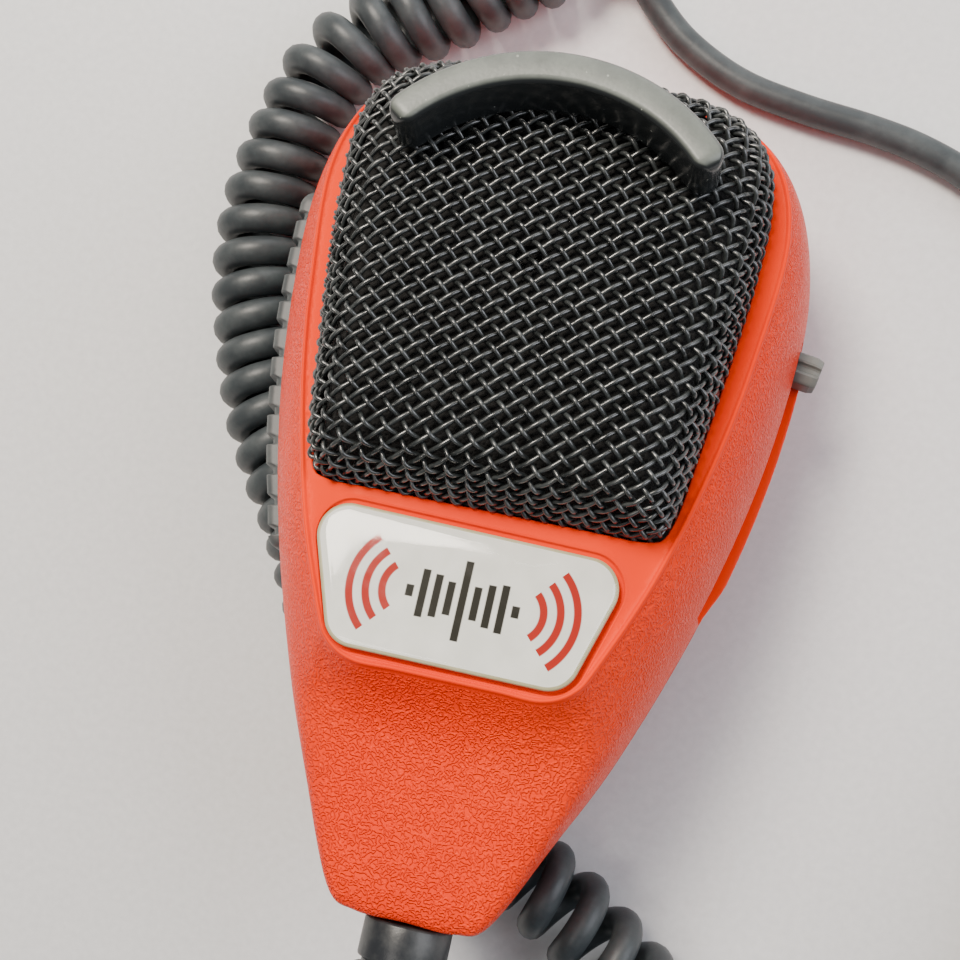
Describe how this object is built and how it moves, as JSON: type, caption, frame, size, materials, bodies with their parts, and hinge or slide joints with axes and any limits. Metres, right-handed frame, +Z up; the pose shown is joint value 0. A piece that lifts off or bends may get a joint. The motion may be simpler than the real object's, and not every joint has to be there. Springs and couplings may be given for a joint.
{
  "type": "hand microphone",
  "caption": "Orange hand microphone with a woven wire grille, lip rest, side talk bar, sliding gain lever, hang-up button, curly cord and round screw-on plug.",
  "frame": {"origin": "on the table, under the middle of the microphone's own box (cord and plug left out)", "axes": "+Z up from the table, +Y toward the head of the microphone, +X toward the gain lever's side"},
  "size_m": [0.1413, 0.2, 0.0473],
  "materials": {
    "orange_shell": "fine-textured moulded plastic with satin panels",
    "black_mesh": "black-coated woven wire",
    "dark_plastic": "moulded dark plastic",
    "lip_rest": "smooth dark plastic, dusty inside",
    "foam": "open-cell foam",
    "badge_plate": "printed off-white plate",
    "badge_dome": "clear glossy cover",
    "grey_plastic": "satin moulded plastic",
    "steel": "zinc-plated steel",
    "chrome": "nickel plating",
    "aluminium": "pressed can",
    "soft_rubber": "moulded rubber",
    "board": "printed circuit laminate",
    "capacitor_sleeve": "shrink sleeve",
    "resistor_body": "dipped film",
    "wire_insulation": "hook-up wire",
    "battery_jacket": "plain lithographed jacket",
    "cord_jacket": "satin slate-grey jacket",
    "phenolic": "phenolic insert",
    "contact": "gold-plated contacts"
  },
  "bodies": {
    "housing": {"front_shell": "orange_shell", "rear_shell": "orange_shell", "grille_mesh": "black_mesh", "grille_frame": "dark_plastic", "grille_foam": "foam", "lip_rest": "lip_rest", "lip_rest_nuts": "steel", "badge_plate": "badge_plate", "badge_dome": "badge_dome", "mic_cartridge": "aluminium", "cartridge_boot": "soft_rubber", "cartridge_holder": "dark_plastic", "circuit_board": "board", "capacitors": "capacitor_sleeve", "resistors": "resistor_body", "transistors": "dark_plastic", "wire_harness": "wire_insulation", "talk_bar_pin": "steel", "talk_bar_spring": "steel", "talk_switch": "dark_plastic", "gain_pot": "steel", "battery": "battery_jacket", "battery_snap": "dark_plastic", "hang_button": "chrome", "hang_button_nut": "steel", "case_screws": "steel", "cable_clamp": "grey_plastic", "clamp_screws": "steel", "strain_relief": "soft_rubber", "cord_inlet": "cord_jacket", "cord_lead": "cord_jacket", "cord_coil": "cord_jacket", "cord_tail": "cord_jacket", "plug_boot": "soft_rubber", "plug_shell": "chrome", "plug_screw": "steel", "plug_insert": "phenolic", "plug_contacts": "contact"},
    "talk_bar": {"talk_bar": "grey_plastic"},
    "switch_plunger": {"switch_plunger": "grey_plastic"},
    "gain_lever": {"gain_lever": "grey_plastic"},
    "coupling_ring": {"coupling_ring": "chrome"}
  },
  "joints": [
    {"name": "talk_bar_press", "type": "hinge", "parent": "housing", "child": "talk_bar", "pos_m": [-0.0233, 0.00072, 0.02252], "axis": [0, -0.2079, -0.9781], "range_deg": [0, 3.5], "stiffness_Nm_per_rad": 0.9, "springref_deg": -6.88, "deforming": ["talk_bar_spring"]},
    {"name": "switch_plunger_press", "type": "slide", "parent": "housing", "child": "switch_plunger", "axis": [1, 0, 0], "range_m": [0, 0.0025]},
    {"name": "gain_slide", "type": "slide", "parent": "housing", "child": "gain_lever", "axis": [-0.1805, -0.9621, 0.2045], "range_m": [0, 0.03]},
    {"name": "coupling_ring_turn", "type": "hinge", "parent": "housing", "child": "coupling_ring", "pos_m": [0.084, -0.035, 0.0096], "axis": [0, -1, 0], "continuous": true}
  ],
  "couplings": [
    {"joint": "switch_plunger_press", "follows": "talk_bar_press", "m_per_rad": 0.031}
  ]
}
